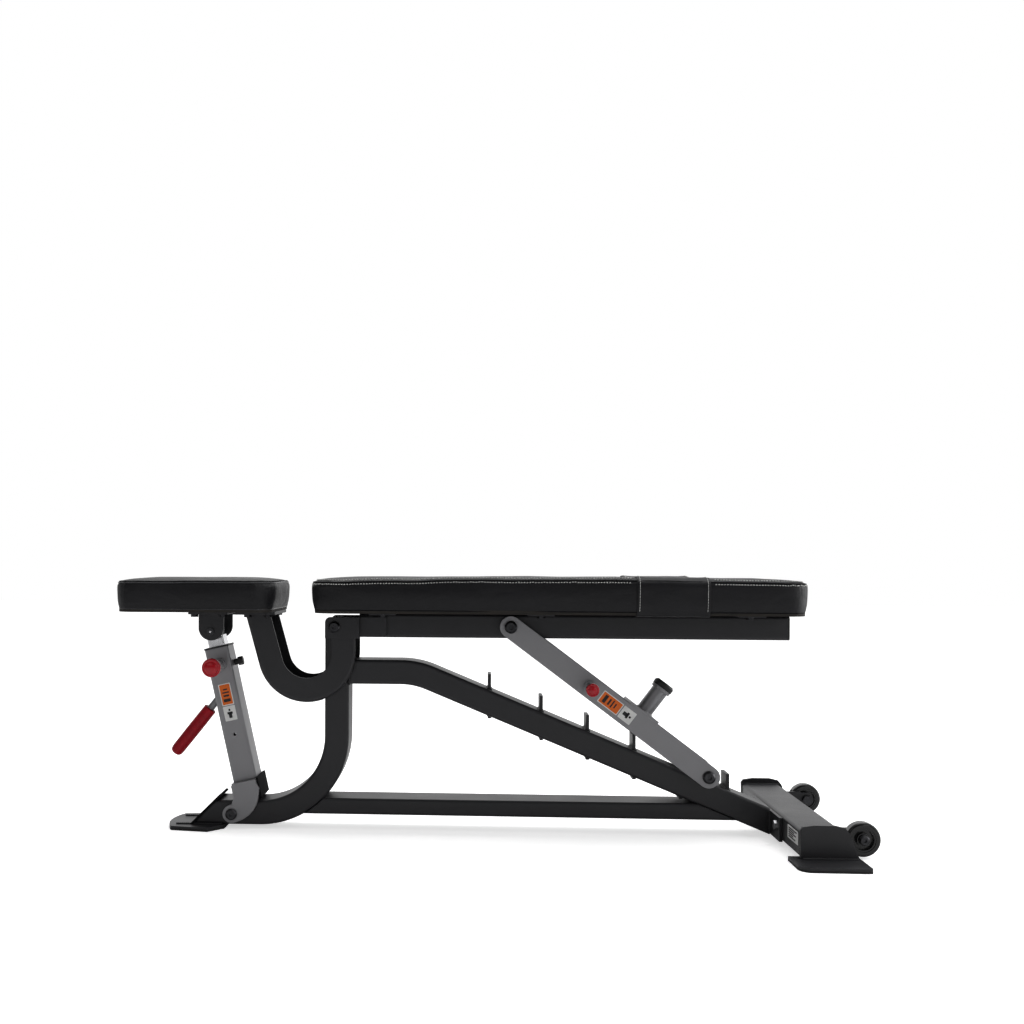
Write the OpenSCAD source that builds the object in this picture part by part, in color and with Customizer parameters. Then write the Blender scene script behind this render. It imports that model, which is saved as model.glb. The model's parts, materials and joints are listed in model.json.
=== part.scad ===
// Adjustable weight bench, flat to incline, with a tilting seat.
// X runs along the bench with the seat at -X, Y across it and Z up.
// The origin is on the floor, under the middle of the bench's box.

/* [Frame tubes] */
// Height of the main frame tubes, seen from the side
tube_h = 47; // [44:1:50]
// Width of the main frame tubes across the bench
tube_w = 76; // [70:2:76]
// Wall thickness of the frame tubes
tube_wall = 3; // [2:0.5:4]
// Outside corner radius of the frame tubes
tube_r = 6; // [4:1:8]
// Height of the low tube that joins the two feet
base_h = 31; // [28:1:34]

/* [Upright and hinge] */
// Hinge axis, along the bench
hinge_x = -285; // [-290:1:-280]
// Hinge axis, above the floor
hinge_z = 395; // [390:1:400]
// Hinge bolt radius
hinge_r = 8; // [7:0.5:9]
// Centre of the upright tube, along the bench
upright_x = -281.5; // [-283:0.5:-280]
// Centre line radius of the bend at the upright's foot
upright_bend_r = 150.5; // [145:0.5:155]

/* [Ladder] */
// Slope of the ladder tube in degrees
ladder_slope = 22.3; // [22:0.1:22.6]
// Height of the ladder's level part
ladder_z = 307.5; // [305:0.5:310]
// Height of the rungs above the ladder
rung_rise = 30; // [24:1:30]
// Thickness of the rungs
rung_t = 6; // [5:0.5:7]

/* [Rear foot] */
// Half length of the rear crossbar
crossbar_half = 230; // [220:5:240]
// How far the foot plates stick out past the crossbar
foot_reach = 65; // [50:5:70]
// Thickness of each steel foot plate
foot_t = 4; // [3:0.5:5]
// Thickness of each rubber sole
sole_t = 4; // [3:0.5:5]
// Radius of the transport wheels
wheel_r = 30.5; // [28:0.5:31]
// Width of the transport wheels
wheel_w = 24; // [20:1:26]

/* [Pads] */
// Width of the seat pad
seat_w = 260; // [250:5:270]
// Front end of the seat pad
seat_x0 = -701; // [-705:1:-690]
// Rear end of the seat pad
seat_x1 = -393; // [-400:1:-390]
// Width of the back pad
back_w = 280; // [270:5:290]
// Front end of the back pad
back_x0 = -324; // [-328:1:-320]
// Rear end of the back pad
back_x1 = 601; // [580:1:610]
// Underside of both pads' boards
board_z = 424; // [424:1:426]
// Board thickness
board_t = 12; // [10:1:15]
// Top of the pads at the middle
pad_top = 490; // [484:1:494]

/* [Support arms] */
// Upper pivot of the arms along the bench
arm_top_x = 54; // [52:1:56]
// Length of the arms between pivots
arm_len = 469; // [468.5:0.1:469.5]
// Width of the arms
arm_w = 42; // [38:1:44]
// Thickness of the arms
arm_t = 6; // [5:0.5:6]
// Inner face of the arms from the middle plane
arm_in = 47; // [47:0.5:49]

/* [Seat post] */
// Lower pivot of the seat post, along the bench
post_pivot_x = -485; // [-487:1:-483]
// Lower pivot of the seat post, above the floor
post_pivot_z = 30; // [28:1:32]
// Seat pin along the bench
seat_pin_x = -528; // [-530:1:-526]
// Seat pin above the floor
seat_pin_z = 384; // [382:1:386]
// Length of the outer post
post_len = 264; // [250:2:270]

/* [Hidden] */
$fn = 48;
fit = 0.05;      // running clearance of a pin in its bore
slack = 0.1;     // gap each side of a washer
butt_gap = 0.02; // gap at a butt joint between two lengths of tube
m8_r = 4;        // pad bolts and the clamp screw
m8_head_r = 7.5;
m8_head_h = 5;
m10_r = 5;       // pull pins and flange bolts
m12_r = 6;       // lower post pivot
nut_r = 9.5;
nut_h = 7;
label_t = 0.6;

upright_bend_x = upright_x - upright_bend_r;
foot_z = foot_t + sole_t;
upright_bend_z = foot_z + tube_h / 2 + upright_bend_r;
upright_low_z = foot_z + tube_h / 2;
cap_x = -538;              // where the 45 degree cut crosses the tube's centre line
cap_t = 5;
foot_arc_x = -474;         // centre and radius of the front foot's bowed edge
foot_arc_r = 140;
pivot_boss_r = 10;

base_z = 46.5;
base_x0 = -356;
base_x1 = 560;

ladder_knee_x = -128;      // where the ladder's two centre lines cross
ladder_bend_r = 150;
ladder_end_x = 547;
ladder_tan = ladder_bend_r * tan(ladder_slope / 2);
rung_xs = [14, 114, 203, 292, 470];
stop_xs = [381, 442.5];    // lower stops, the last one holds the bench flat
stop_rise = 24;
rung_half = 25;

crossbar_x = 591;
crossbar_z = foot_z + tube_h / 2;
flange_t = 6;
flange_h = 44;
flange_half = 108;
flange_bolt_y = 92;
flange_bolt_z = 36;
end_plate_t = 6;
wheel_x = 671;
wheel_z = 34;
wheel_y = 187;
axle_r = 6;

cheek_in = 46;             // inner face of the seat arm's cheeks
seat_arm_w = 100;
hinge_plate_t = 5;
pivot_head_r = 11;
pivot_head_h = 6;
seat_arm_r = 72;
seat_arm_c = [-339.5, 344];
seat_arm_lean = 15.5;
plate_t = 6;
link_in = 39;              // inner face of the back's hinge plates
sleeve_r = 19;

rail_h = 45;
rail_w = 78;
rail_z = 397.5;
rail_x0 = -238;
rail_x1 = 578;
mount_t = board_z - (rail_z + rail_h / 2);
mount_xs = [-190, 110, 500];

arm_top = [arm_top_x, 397];
arm_angle = 36.9;
arm_dir = [cos(arm_angle), -sin(arm_angle)];
arm_low = arm_top + arm_len * arm_dir;
arm_bolt_r = 6;
arm_head_r = 12;
arm_head_h = 7;
cross_pin_r = 9.5;
arm_pin_s = 188;           // pull pin, measured down the arm from the top pivot
bridge_s = 300;
stub_s = 306;
stub_r = 16;
stub_len = 55;

post_lean = 12.78;
post_foot = [-462, 93];
post_w = 47;
post_d = 60;
inner_w = 32;
inner_d = 40;
post_pin_s = 231;          // pull pin, measured up the post from its foot
post_label_w = 24;
arm_label_w = 26;
handle_s = 165;
handle_tilt = 51.4;        // grip's angle from the post
rod_r = 7;
rod_root = -2;
grip_r = 12.5;
grip_start = 25;           // along the rod, from the post's face
grip_len = 114;
grip_chamfer = 8;
housing_neck_r = 7;
post_pin_start = 20.8;     // inner end of the pull pin, from the middle plane
cheek_gap = 41;            // inner face of the post bracket's cheeks
pin_r = 5;

seat_bolt_xs = [-556, -500, -452, -412];
seat_bolt_y = 60;
bolt_in_board = 9;         // depth of the bolt holes into the boards
ear_x = -527;
ear_y = 42;
ear_z = 391;
ear_r = 24.5;
back_bolt_y = 70;
board_inset = 7;
pad_low = board_z + 3;
pad_edge = 482;
band_x0 = 281;
band_x1 = 415;
band_t = 1.6;

// ---- shared shapes ----

// Rectangle with round corners, centred
module round_rect(w, d, r) {
    square([w - 2 * r, d], center = true);
    square([w, d - 2 * r], center = true);
    for (x = [-1, 1], y = [-1, 1])
        translate([x * (w / 2 - r), y * (d / 2 - r)]) circle(r);
}

// Section of a rectangular tube; w lies in the side view, d runs across the bench
module tube_section(w, d, wall = tube_wall, r = tube_r) {
    difference() {
        round_rect(w, d, r);
        round_rect(w - 2 * wall, d - 2 * wall, r - wall);
    }
}

// Puts a child drawn in X and Y into the side view, centred on the middle plane
module side_plate(t) {
    rotate([90, 0, 0]) linear_extrude(t, center = true) children();
}

// Extrudes a child section from a to b, both given as [x, z]
module run(a, b) {
    v = b - a;
    translate([a[0], 0, a[1]])
        rotate([0, -atan2(v[1], v[0]), 0])
            rotate([0, 90, 0]) linear_extrude(norm(v)) children();
}

// Sweeps a child section round c = [x, z], from angle a0 to a1, with straight tails
module bend(c, r, a0, a1, tail0 = 0, tail1 = 0) {
    translate([c[0], 0, c[1]]) rotate([90, 0, 0]) rotate([0, 0, a0]) {
        rotate_extrude(angle = a1 - a0, $fn = 96) translate([r, 0]) children();
        if (tail0 > 0)
            translate([r, 0, 0]) rotate([90, 0, 0]) linear_extrude(tail0) children();
        if (tail1 > 0)
            rotate([0, 0, a1 - a0]) translate([r, tail1, 0])
                rotate([90, 0, 0]) linear_extrude(tail1) children();
    }
}

// Round bar across the bench at [x, z], from y0 to y1
module cross_bar(p, r, y0, y1) {
    translate([p[0], y1, p[1]]) rotate([90, 0, 0]) cylinder(r = r, h = y1 - y0);
}

// Button head screw at [x, z]; side is -1 on the near face and 1 on the far one
module button_head(p, r, h, y, side) {
    translate([p[0], side * y, p[1]]) rotate([side * -90, 0, 0]) difference() {
        union() {
            cylinder(r = r, h = h * 0.5);
            translate([0, 0, h * 0.5]) cylinder(r1 = r, r2 = r * 0.72, h = h * 0.5);
        }
        translate([0, 0, h * 0.4]) cylinder(r = r * 0.42, h = h, $fn = 6);
    }
}

// Mirrors children to both sides of the bench
module both_sides() {
    children();
    mirror([0, 1, 0]) children();
}

// Frames that follow the support arms and the seat post
module on_arm(s) {
    p = arm_top + s * arm_dir;
    translate([p[0], 0, p[1]]) rotate([0, arm_angle, 0]) children();
}
module on_post(s) {
    translate([post_foot[0], 0, post_foot[1]]) rotate([0, -post_lean, 0])
        translate([0, 0, s]) children();
}

// ---- fixed frame ----

module front_upright() color("#26272b") {
    difference() {
        union() {
            run([upright_x, upright_bend_z], [upright_x, hinge_z - 4]) tube_section(tube_h, tube_w);
            bend([upright_bend_x, upright_bend_z], upright_bend_r, -90, 0)
                tube_section(tube_h, tube_w);
            difference() {
                run([upright_bend_x - 160, upright_low_z], [upright_bend_x, upright_low_z])
                    tube_section(tube_h, tube_w);
                side_plate(120) cut_band(200);
            }
            cross_bar([hinge_x, hinge_z], sleeve_r, -tube_w / 2, tube_w / 2);
            cross_bar([post_pivot_x, post_pivot_z], pivot_boss_r, -tube_w / 2, tube_w / 2);
        }
        cross_bar([hinge_x, hinge_z], hinge_r + 3, -60, 60);
        cross_bar([post_pivot_x, post_pivot_z], m12_r + fit, -60, 60);
    }
}

// Band of the side view in front of the upright's 45 degree cut, t thick
module cut_band(t) {
    low = foot_z - upright_low_z;
    high = 61 - upright_low_z;
    translate([cap_x, upright_low_z])
        polygon([[low, low], [high, high], [high - t, high + t], [low - 2 * t, low]]);
}

module front_end_cap() color("#222327")
    side_plate(tube_w + 6) cut_band(cap_t * sqrt(0.5));

// Outline of the front foot: narrow at the tube, wings, then a bowed front
module front_foot_outline() {
    intersection() {
        polygon([[-500, -40], [-527, -72], [-620, -57], [-620, 57], [-527, 72], [-500, 40]]);
        translate([foot_arc_x, 0]) circle(foot_arc_r, $fn = 144);
    }
}

module front_foot_plate() color("#202125")
    translate([0, 0, sole_t]) linear_extrude(foot_t) front_foot_outline();

// Space that the upright and its bend take up, for coping tubes against it
module upright_solid() {
    run([upright_x, upright_bend_z], [upright_x, hinge_z]) round_rect(tube_h, 120, 1);
    bend([upright_bend_x, upright_bend_z], upright_bend_r, -90, 0) round_rect(tube_h, 120, 1);
    translate([upright_bend_x, -60, 0])
        cube([upright_bend_r, 120, 20]);
}

// Heights of the ladder's slope at x: centre line, under face and top face
function ladder_at(x) = [x, ladder_z - (x - ladder_knee_x) * tan(ladder_slope)];
function ladder_under(x) = ladder_at(x)[1] - tube_h / 2 / cos(ladder_slope);
function ladder_over(x) = ladder_at(x)[1] + tube_h / 2 / cos(ladder_slope);

module base_tube() color("#26272b")
    difference() {
        run([base_x0, base_z], [base_x1, base_z]) tube_section(base_h, tube_w, tube_wall, 5);
        upright_solid();
        side_plate(120) polygon([
            [300, ladder_under(300)], [600, ladder_under(600)], [600, 300], [300, 300]
        ]);
    }

module ladder_tube() color("#26272b") {
    knee_c = [ladder_knee_x - ladder_tan, ladder_z - ladder_bend_r];
    difference() {
        union() {
            run([upright_x + tube_h / 2, ladder_z], [knee_c[0] - butt_gap, ladder_z])
                tube_section(tube_h, tube_w);
            bend(knee_c, ladder_bend_r, 90 - ladder_slope, 90, tail0 = 790)
                tube_section(tube_h, tube_w);
        }
        translate([ladder_end_x, -60, -200]) cube([200, 120, 400]);
        ladder_rungs();
    }
}

// One upright plate set right through the ladder tube, or into it over the low tube
module rung_plate(x, rise) {
    low = ladder_under(x) - (x > 400 ? -1.5 : 5);
    translate([x - rung_t / 2, -rung_half, low])
        cube([rung_t, 2 * rung_half, ladder_over(x) + rise - low]);
}

module ladder_rungs() color("#2c2d31") {
    for (x = rung_xs) rung_plate(x, rung_rise);
    for (x = stop_xs) rung_plate(x, stop_rise);
}

module flange_holes(x0, len, r) {
    for (s = [-1, 1])
        translate([x0, s * flange_bolt_y, flange_bolt_z]) rotate([0, 90, 0])
            cylinder(r = r, h = len);
}

module ladder_flange() color("#202125")
    difference() {
        translate([ladder_end_x, -flange_half, foot_z])
            cube([flange_t, 2 * flange_half, flange_h]);
        flange_holes(ladder_end_x - 5, 20, m10_r + fit);
    }

module flange_bolts() color("#b9bcc0") {
    flange_holes(ladder_end_x - 1, 24, m10_r);
    for (s = [-1, 1])
        translate([ladder_end_x - nut_h, s * flange_bolt_y, flange_bolt_z])
            rotate([0, 90, 0]) cylinder(r = 8.5, h = nut_h, $fn = 6);
}

module rear_crossbar() color("#26272b")
    difference() {
        translate([crossbar_x, 0, crossbar_z]) rotate([90, 0, 0])
            linear_extrude(2 * crossbar_half, center = true) tube_section(tube_w, tube_h);
        flange_holes(crossbar_x - tube_w / 2 - 5, 20, m10_r + fit);
    }

module rear_end_plates() color("#26272b")
    both_sides() translate([0, -crossbar_half - end_plate_t / 2, 0])
        side_plate(end_plate_t) polygon([
            [552, foot_z], [551, 57], [555, 63], [575, 66], [611, 66], [628, 62], [635, 54],
            [653, foot_z]
        ]);

module rear_foot_outline() {
    y0 = -crossbar_half - foot_reach - 6;
    difference() {
        translate([535, y0]) square([121, 85]);
        translate([535, y0]) square([22, 22]);
        translate([650, y0]) square([6, 6]);
    }
    translate([557, y0 + 22]) circle(22);
    translate([650, y0 + 6]) circle(6);
}

module rear_foot_plates() color("#242529")
    both_sides() translate([0, 0, sole_t]) linear_extrude(foot_t) rear_foot_outline();

module foot_soles() color("#161618") {
    linear_extrude(sole_t) front_foot_outline();
    both_sides() linear_extrude(sole_t) rear_foot_outline();
}

module wheel_brackets() color("#202125")
    both_sides() difference() {
        bar_face = crossbar_x + tube_w / 2;
        translate([0, -wheel_y + wheel_w / 2 + 1 + plate_t / 2, 0]) side_plate(plate_t) {
            translate([bar_face, 14]) square([30, 36]);
            translate([wheel_x, wheel_z]) circle(14);
            translate([bar_face + 10, 20]) square([32, 28]);
        }
        cross_bar([wheel_x, wheel_z], axle_r + fit, -220, 0);
    }

module wheel_axles() color("#b9bcc0")
    both_sides() {
        y_out = -wheel_y - wheel_w / 2 - 1;
        y_in = -wheel_y + wheel_w / 2 + 14;
        cross_bar([wheel_x, wheel_z], axle_r, y_out, y_in);
        button_head([wheel_x, wheel_z], nut_r, 5, -y_out, -1);
        translate([wheel_x, y_in - nut_h, wheel_z]) rotate([-90, 0, 0])
            cylinder(r = nut_r, h = nut_h, $fn = 6);
    }

module tyre() {
    rotate([90, 0, 0]) rotate_extrude($fn = 96) difference() {
        union() {
            translate([wheel_r - 9, -wheel_w / 2]) square([5, wheel_w]);
            translate([wheel_r - 6, -wheel_w / 2 + 5]) square([6, wheel_w - 10]);
            for (s = [-1, 1]) translate([wheel_r - 5, s * (wheel_w / 2 - 5)]) circle(5);
        }
        translate([0, -wheel_w]) square([wheel_r - 9, 2 * wheel_w]);
    }
}

module hub() {
    rotate([90, 0, 0]) rotate_extrude($fn = 96) {
        translate([axle_r + fit, -wheel_w / 2]) square([6, wheel_w]);
        translate([axle_r + 3, -4]) square([wheel_r - 9 - axle_r - 3, 8]);
        translate([wheel_r - 12, -wheel_w / 2 + 1]) square([3, wheel_w - 2]);
    }
}

module near_tyre() color("#141416") translate([wheel_x, -wheel_y, wheel_z]) tyre();
module near_hub() color("#2a2a2e") translate([wheel_x, -wheel_y, wheel_z]) hub();
module far_tyre() color("#141416") translate([wheel_x, wheel_y, wheel_z]) tyre();
module far_hub() color("#2a2a2e") translate([wheel_x, wheel_y, wheel_z]) hub();

module serial_label() color("#e8e8e6")
    translate([crossbar_x - tube_w / 2 - label_t, -215, 26]) cube([label_t, 70, 24]);

// ---- main hinge ----

module hinge_bolt() color("#a9adb2") {
    grip = seat_arm_w / 2 + hinge_plate_t + 0.5;
    cross_bar([hinge_x, hinge_z], hinge_r, -grip, grip);
    both_sides() button_head([hinge_x, hinge_z], pivot_head_r, pivot_head_h, grip, -1);
}

// Bushes in the upright's sleeve, and thin washers between the plates
module hinge_bushes() color("#8a7242")
    both_sides() difference() {
        union() {
            cross_bar([hinge_x, hinge_z], hinge_r + 3, -tube_w / 2, -tube_w / 2 + 25);
            for (y = [tube_w / 2, link_in + plate_t])
                cross_bar([hinge_x, hinge_z], 16, -y - 1 + slack, -y - slack);
        }
        cross_bar([hinge_x, hinge_z], hinge_r + fit, -60, 0);
    }

module post_pivot_bolt() color("#a9adb2") {
    p = [post_pivot_x, post_pivot_z];
    grip = cheek_gap + plate_t + 0.5;
    cross_bar(p, m12_r, -grip, grip);
    both_sides() button_head(p, pivot_head_r, pivot_head_h, grip, -1);
}

// ---- seat, turning about the main hinge ----

// Deep channel, open on the inside of the bend: a 4 mm web and two 4 mm cheeks
module seat_arm_section() {
    difference() {
        union() {
            round_rect(tube_h, seat_arm_w, 7);
            translate([-tube_h / 2, -seat_arm_w / 2]) square([20, seat_arm_w]);
        }
        translate([-10, 0]) round_rect(tube_h + 12, seat_arm_w - 8, 3);
    }
}

// Sweep along the seat arm's bend, from the seat down and up to the hinge
module seat_arm_sweep() {
    bend(seat_arm_c, seat_arm_r, 180 + seat_arm_lean, 270, tail0 = 130) children();
    bend(seat_arm_c, seat_arm_r, 270, 360, tail1 = hinge_z + 17 - seat_arm_c[1]) children();
}

module seat_arm_tube() color("#26272b") {
    difference() {
        seat_arm_sweep() seat_arm_section();
        translate([-600, -60, board_z - plate_t]) cube([200, 120, 100]);
        translate([upright_x - tube_h / 2 - 2, -cheek_in, 200])
            cube([120, 2 * cheek_in, 300]);
        cross_bar([hinge_x, hinge_z], hinge_r + fit, -60, 60);
    }
}

module seat_hinge_plates() color("#2c2d31")
    both_sides() difference() {
        translate([0, -(seat_arm_w + hinge_plate_t) / 2, 0]) side_plate(hinge_plate_t) {
            translate([-293, 404]) circle(10);
            translate([-293, 373]) square([56, 41]);
            translate([-303, 373]) square([20, 31]);
        }
        cross_bar([hinge_x, hinge_z], hinge_r + fit, -60, 0);
    }

module seat_top_plate() color("#2c2d31")
    difference() {
        translate([-474, -70, board_z - plate_t]) cube([76, 140, plate_t]);
        seat_bolt_holes();
    }

module seat_bolt_holes() {
    for (x = seat_bolt_xs, y = [-seat_bolt_y, seat_bolt_y])
        translate([x, y, board_z - 20]) cylinder(r = m8_r + fit, h = 20 + bolt_in_board);
}

module seat_bolts() color("#a9adb2")
    for (x = seat_bolt_xs, y = [-seat_bolt_y, seat_bolt_y]) {
        translate([x, y, board_z - plate_t]) cylinder(r = m8_r, h = plate_t + bolt_in_board - 1);
        translate([x, y, board_z - plate_t - m8_head_h])
            cylinder(r = m8_head_r, h = m8_head_h, $fn = 6);
    }

module seat_ears() color("#202125")
    difference() {
        union() {
            translate([-566, -70, board_z - plate_t]) cube([76, 140, plate_t]);
            both_sides() translate([0, -ear_y, 0]) side_plate(plate_t) {
                translate([ear_x - ear_r, ear_z]) square([2 * ear_r, board_z - plate_t - ear_z]);
                translate([ear_x, ear_z]) circle(ear_r);
            }
        }
        seat_bolt_holes();
        cross_bar([seat_pin_x, seat_pin_z], pin_r + fit, -60, 60);
    }

module seat_pin() color("#a9adb2") {
    cross_bar([seat_pin_x, seat_pin_z], pin_r, -46, 46);
    both_sides() cross_bar([seat_pin_x, seat_pin_z], 7.2, -48, -45);
}

// Plan of a pad: w across the bench, with round corners
module pad_plan(x0, x1, w, r, inset) {
    translate([(x0 + x1) / 2, 0]) round_rect(x1 - x0 - 2 * inset, w - 2 * inset, r - inset);
}

module pad_slab(x0, x1, w, r, inset, z, t) {
    translate([0, 0, z]) linear_extrude(t) pad_plan(x0, x1, w, r, inset);
}

// Plain closed cushion that wraps the board's edge
module cushion(x0, x1, w, r) {
    difference() {
        hull() {
            pad_slab(x0, x1, w, r, 6, pad_low, 1, $fn = 32);
            pad_slab(x0, x1, w, r, 0, pad_low + 18, pad_edge - pad_low - 22, $fn = 32);
            pad_slab(x0, x1, w, r, 3, pad_edge - 1, 1, $fn = 32);
            pad_slab(x0, x1, w, r, 30, pad_top - 1, 1, $fn = 32);
        }
        pad_slab(x0, x1, w, r, board_inset, board_z, board_t);
    }
}

module seat_board() color("#3a2f26")
    difference() {
        pad_slab(seat_x0, seat_x1, seat_w, 42, board_inset, board_z, board_t);
        seat_bolt_holes();
    }

module seat_cushion() color("#17171a") cushion(seat_x0, seat_x1, seat_w, 42);

// ---- seat post ----

module seat_post_outer() color("#a4a6aa")
    difference() {
        on_post(0) linear_extrude(post_len) tube_section(post_w, post_d, 3, 5);
        on_post(post_pin_s) rotate([90, 0, 0]) cylinder(r = housing_neck_r, h = 60);
        on_post(post_pin_s - 2) rotate([0, 90, 0]) cylinder(r = m8_r + fit, h = 60);
        on_post(92) rotate([90, 0, 0]) cylinder(r = 3, h = 60);
        on_handle() translate([0, 0, rod_root]) cylinder(r = rod_r, h = 110);
    }

// Two cheeks and a top plate that carry the post on its lower pivot
module post_cheek_shape() {
    p = [post_pivot_x, post_pivot_z];
    translate(p) circle(17.5);
    difference() {
        union() {
            polygon([
                [-485, 12.5], [-477, 14], [-466, 18.2], [-457, 23.2], [-449, 29.6], [-442.5, 37],
                [-437.6, 45.6], [-434.2, 55], [-432.2, 66], [-431.2, 80],
                [-438.6, 94.8], [-486.2, 84], [-481, 62], [-485, 47.5]
            ]);
        }
        translate([-497, 62]) circle(16);
    }
}

module post_bracket() color("#a4a6aa")
    difference() {
        union() {
            both_sides() translate([0, -cheek_gap - plate_t / 2, 0]) side_plate(plate_t)
                post_cheek_shape();
            on_post(-5) translate([-24, -cheek_gap - plate_t, 0])
                cube([48, 2 * (cheek_gap + plate_t), 5]);
        }
        cross_bar([post_pivot_x, post_pivot_z], m12_r + fit, -60, 60);
    }

module post_bracket_web() color("#1d1e21")
    on_post(-38) translate([24, -cheek_gap, 0]) cube([4, 2 * cheek_gap, 40]);

module post_guide_bush() color("#18181a")
    on_post(0) difference() {
        union() {
            translate([0, 0, post_len]) linear_extrude(3) round_rect(post_w + 2, post_d + 2, 5);
            translate([0, 0, post_len - 26]) linear_extrude(26)
                round_rect(post_w - 6, post_d - 6, 2);
        }
        translate([0, 0, post_len - 30]) linear_extrude(40)
            round_rect(inner_w + 0.6, inner_d + 0.6, 3);
    }

module post_pin_housing() color("#8f9195")
    on_post(post_pin_s) rotate([90, 0, 0]) difference() {
        union() {
            translate([0, 0, post_d / 2]) cylinder(r = 13, h = 8);
            translate([0, 0, post_d / 2 + 8]) cylinder(r = 10.5, h = 44);
            translate([0, 0, post_d / 2 - 3]) cylinder(r = housing_neck_r, h = 3);
        }
        cylinder(r = m10_r + fit, h = 120);
    }

module post_pull_pin() color("#b9bcc0")
    on_post(post_pin_s) rotate([90, 0, 0])
        translate([0, 0, post_pin_start]) cylinder(r = m10_r, h = 70);

module post_pin_knob() color("#b3122c")
    on_post(post_pin_s) rotate([90, 0, 0]) translate([0, 0, post_pin_start + 67])
        pull_knob(18, 24);

module post_clamp_knob() color("#1a1a1c")
    on_post(post_pin_s - 2) rotate([0, 90, 0]) {
        translate([0, 0, inner_w / 2 + 0.8]) cylinder(r = m8_r, h = 20);
        translate([0, 0, post_w / 2 + 1]) cylinder(r = 6, h = 7);
        translate([0, 0, post_w / 2 + 8]) cylinder(r = 8.5, h = 10, $fn = 6);
    }

// Frame of the hand grip: starts on the post's face and runs out along the grip
module on_handle() {
    on_post(handle_s) translate([-post_w / 2, 0, 0]) rotate([0, -180 + handle_tilt, 0])
        children();
}

module post_handle_rod() color("#a4a6aa")
    on_handle() translate([0, 0, rod_root]) cylinder(r = rod_r, h = 128);

module post_handle_grip() color("#b3122c")
    on_handle() difference() {
        translate([0, 0, grip_start]) union() {
            cylinder(r = grip_r, h = grip_len - grip_chamfer);
            cylinder(r = 8, h = grip_len);
            translate([0, 0, grip_len - grip_chamfer])
                cylinder(r1 = grip_r, r2 = 8, h = grip_chamfer);
        }
        translate([0, 0, rod_root]) cylinder(r = rod_r, h = 128);
    }

module post_labels() color("#e07b12")
    on_post(0) translate([-post_label_w / 2, -post_d / 2 - label_t, 0]) {
        translate([0, 0, 150]) cube([post_label_w, label_t, 43]);
        translate([0, 0, 119.5]) cube([post_label_w, label_t, 29]);
    }

module seat_post_inner() color("#c9cbce") {
    top = norm([seat_pin_x, seat_pin_z] - post_foot);
    difference() {
        union() {
            on_post(30) linear_extrude(top - 30 - 11) tube_section(inner_w, inner_d, 2.5, 3);
            on_post(top) rotate([90, 0, 0]) cylinder(r = 14, h = 60, center = true);
        }
        on_post(top) rotate([90, 0, 0]) cylinder(r = pin_r + 3, h = 80, center = true);
        for (s = [0, 41.4, 82.8])
            on_post(post_pin_s - s) rotate([90, 0, 0]) cylinder(r = 5.6, h = 60);
    }
}

module post_slider() color("#18181a")
    on_post(18) difference() {
        linear_extrude(40) round_rect(post_w - 6.8, post_d - 6.8, 2);
        translate([0, 0, 12]) linear_extrude(40) round_rect(inner_w, inner_d, 3);
    }

// ---- back support, turning about the main hinge ----

module back_rail() color("#26272b")
    difference() {
        union() {
            run([rail_x0, rail_z], [rail_x1, rail_z])
                tube_section(rail_h, rail_w, tube_wall, 5);
            cross_bar(arm_top, 10, -arm_in + 0.3, arm_in - 0.3);
            translate([rail_x0, -rail_w / 2 + 3, rail_z - rail_h / 2 + 3])
                cube([4, rail_w - 6, rail_h - 6]);
        }
        cross_bar(arm_top, arm_bolt_r + fit, -60, 60);
        rail_bolt_holes();
    }

module rail_end_cap() color("#18181a")
    translate([rail_x1, 0, rail_z]) rotate([0, 90, 0]) {
        linear_extrude(4) round_rect(rail_h, rail_w, 5);
        translate([0, 0, -16]) linear_extrude(16) round_rect(rail_h - 6, rail_w - 6, 2);
    }

module back_hinge_plates() color("#2c2d31")
    both_sides() difference() {
        translate([0, -link_in - plate_t / 2, 0]) side_plate(plate_t) {
            translate([hinge_x, hinge_z]) circle(sleeve_r);
            translate([hinge_x, hinge_z - sleeve_r]) square([100, 2 * sleeve_r]);
        }
        cross_bar([hinge_x, hinge_z], hinge_r + fit, -60, 0);
    }

module rail_bolt_holes() {
    for (x = mount_xs, y = [-back_bolt_y, back_bolt_y])
        translate([x, y, rail_z])
            cylinder(r = m8_r + fit, h = board_z + bolt_in_board - rail_z);
}

module back_mount_plates() color("#2c2d31")
    difference() {
        for (x = mount_xs)
            translate([x - 25, -95, rail_z + rail_h / 2]) cube([50, 190, mount_t]);
        rail_bolt_holes();
    }

module back_bolts() color("#a9adb2")
    for (x = mount_xs, y = [-back_bolt_y, back_bolt_y]) {
        translate([x, y, board_z - mount_t - 1])
            cylinder(r = m8_r, h = mount_t + bolt_in_board);
        translate([x, y, board_z - mount_t - m8_head_h])
            cylinder(r = m8_head_r, h = m8_head_h, $fn = 6);
    }

module back_board() color("#3a2f26")
    difference() {
        pad_slab(back_x0, back_x1, back_w, 45, board_inset, board_z, board_t);
        rail_bolt_holes();
    }

module back_cushion() color("#17171a") cushion(back_x0, back_x1, back_w, 45);

// Cross section of the back pad, grown outwards by g
module pad_section(g) {
    h = back_w / 2;
    polygon([
        [-h + 6 - g, board_z - g], [-h - g, pad_low + 18], [-h - g, pad_edge - 4],
        [-h + 3 - g, pad_edge + g], [-h + 30, pad_top + g], [h - 30, pad_top + g],
        [h - 3 + g, pad_edge + g], [h + g, pad_edge - 4], [h + g, pad_low + 18],
        [h - 6 + g, board_z - g]
    ]);
}

module back_band() color("#1b1b1e")
    translate([band_x0, 0, 0]) rotate([90, 0, 90]) linear_extrude(band_x1 - band_x0)
        difference() {
            pad_section(band_t + 0.2);
            pad_section(0.2);
        }

// ---- support arms ----

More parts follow.
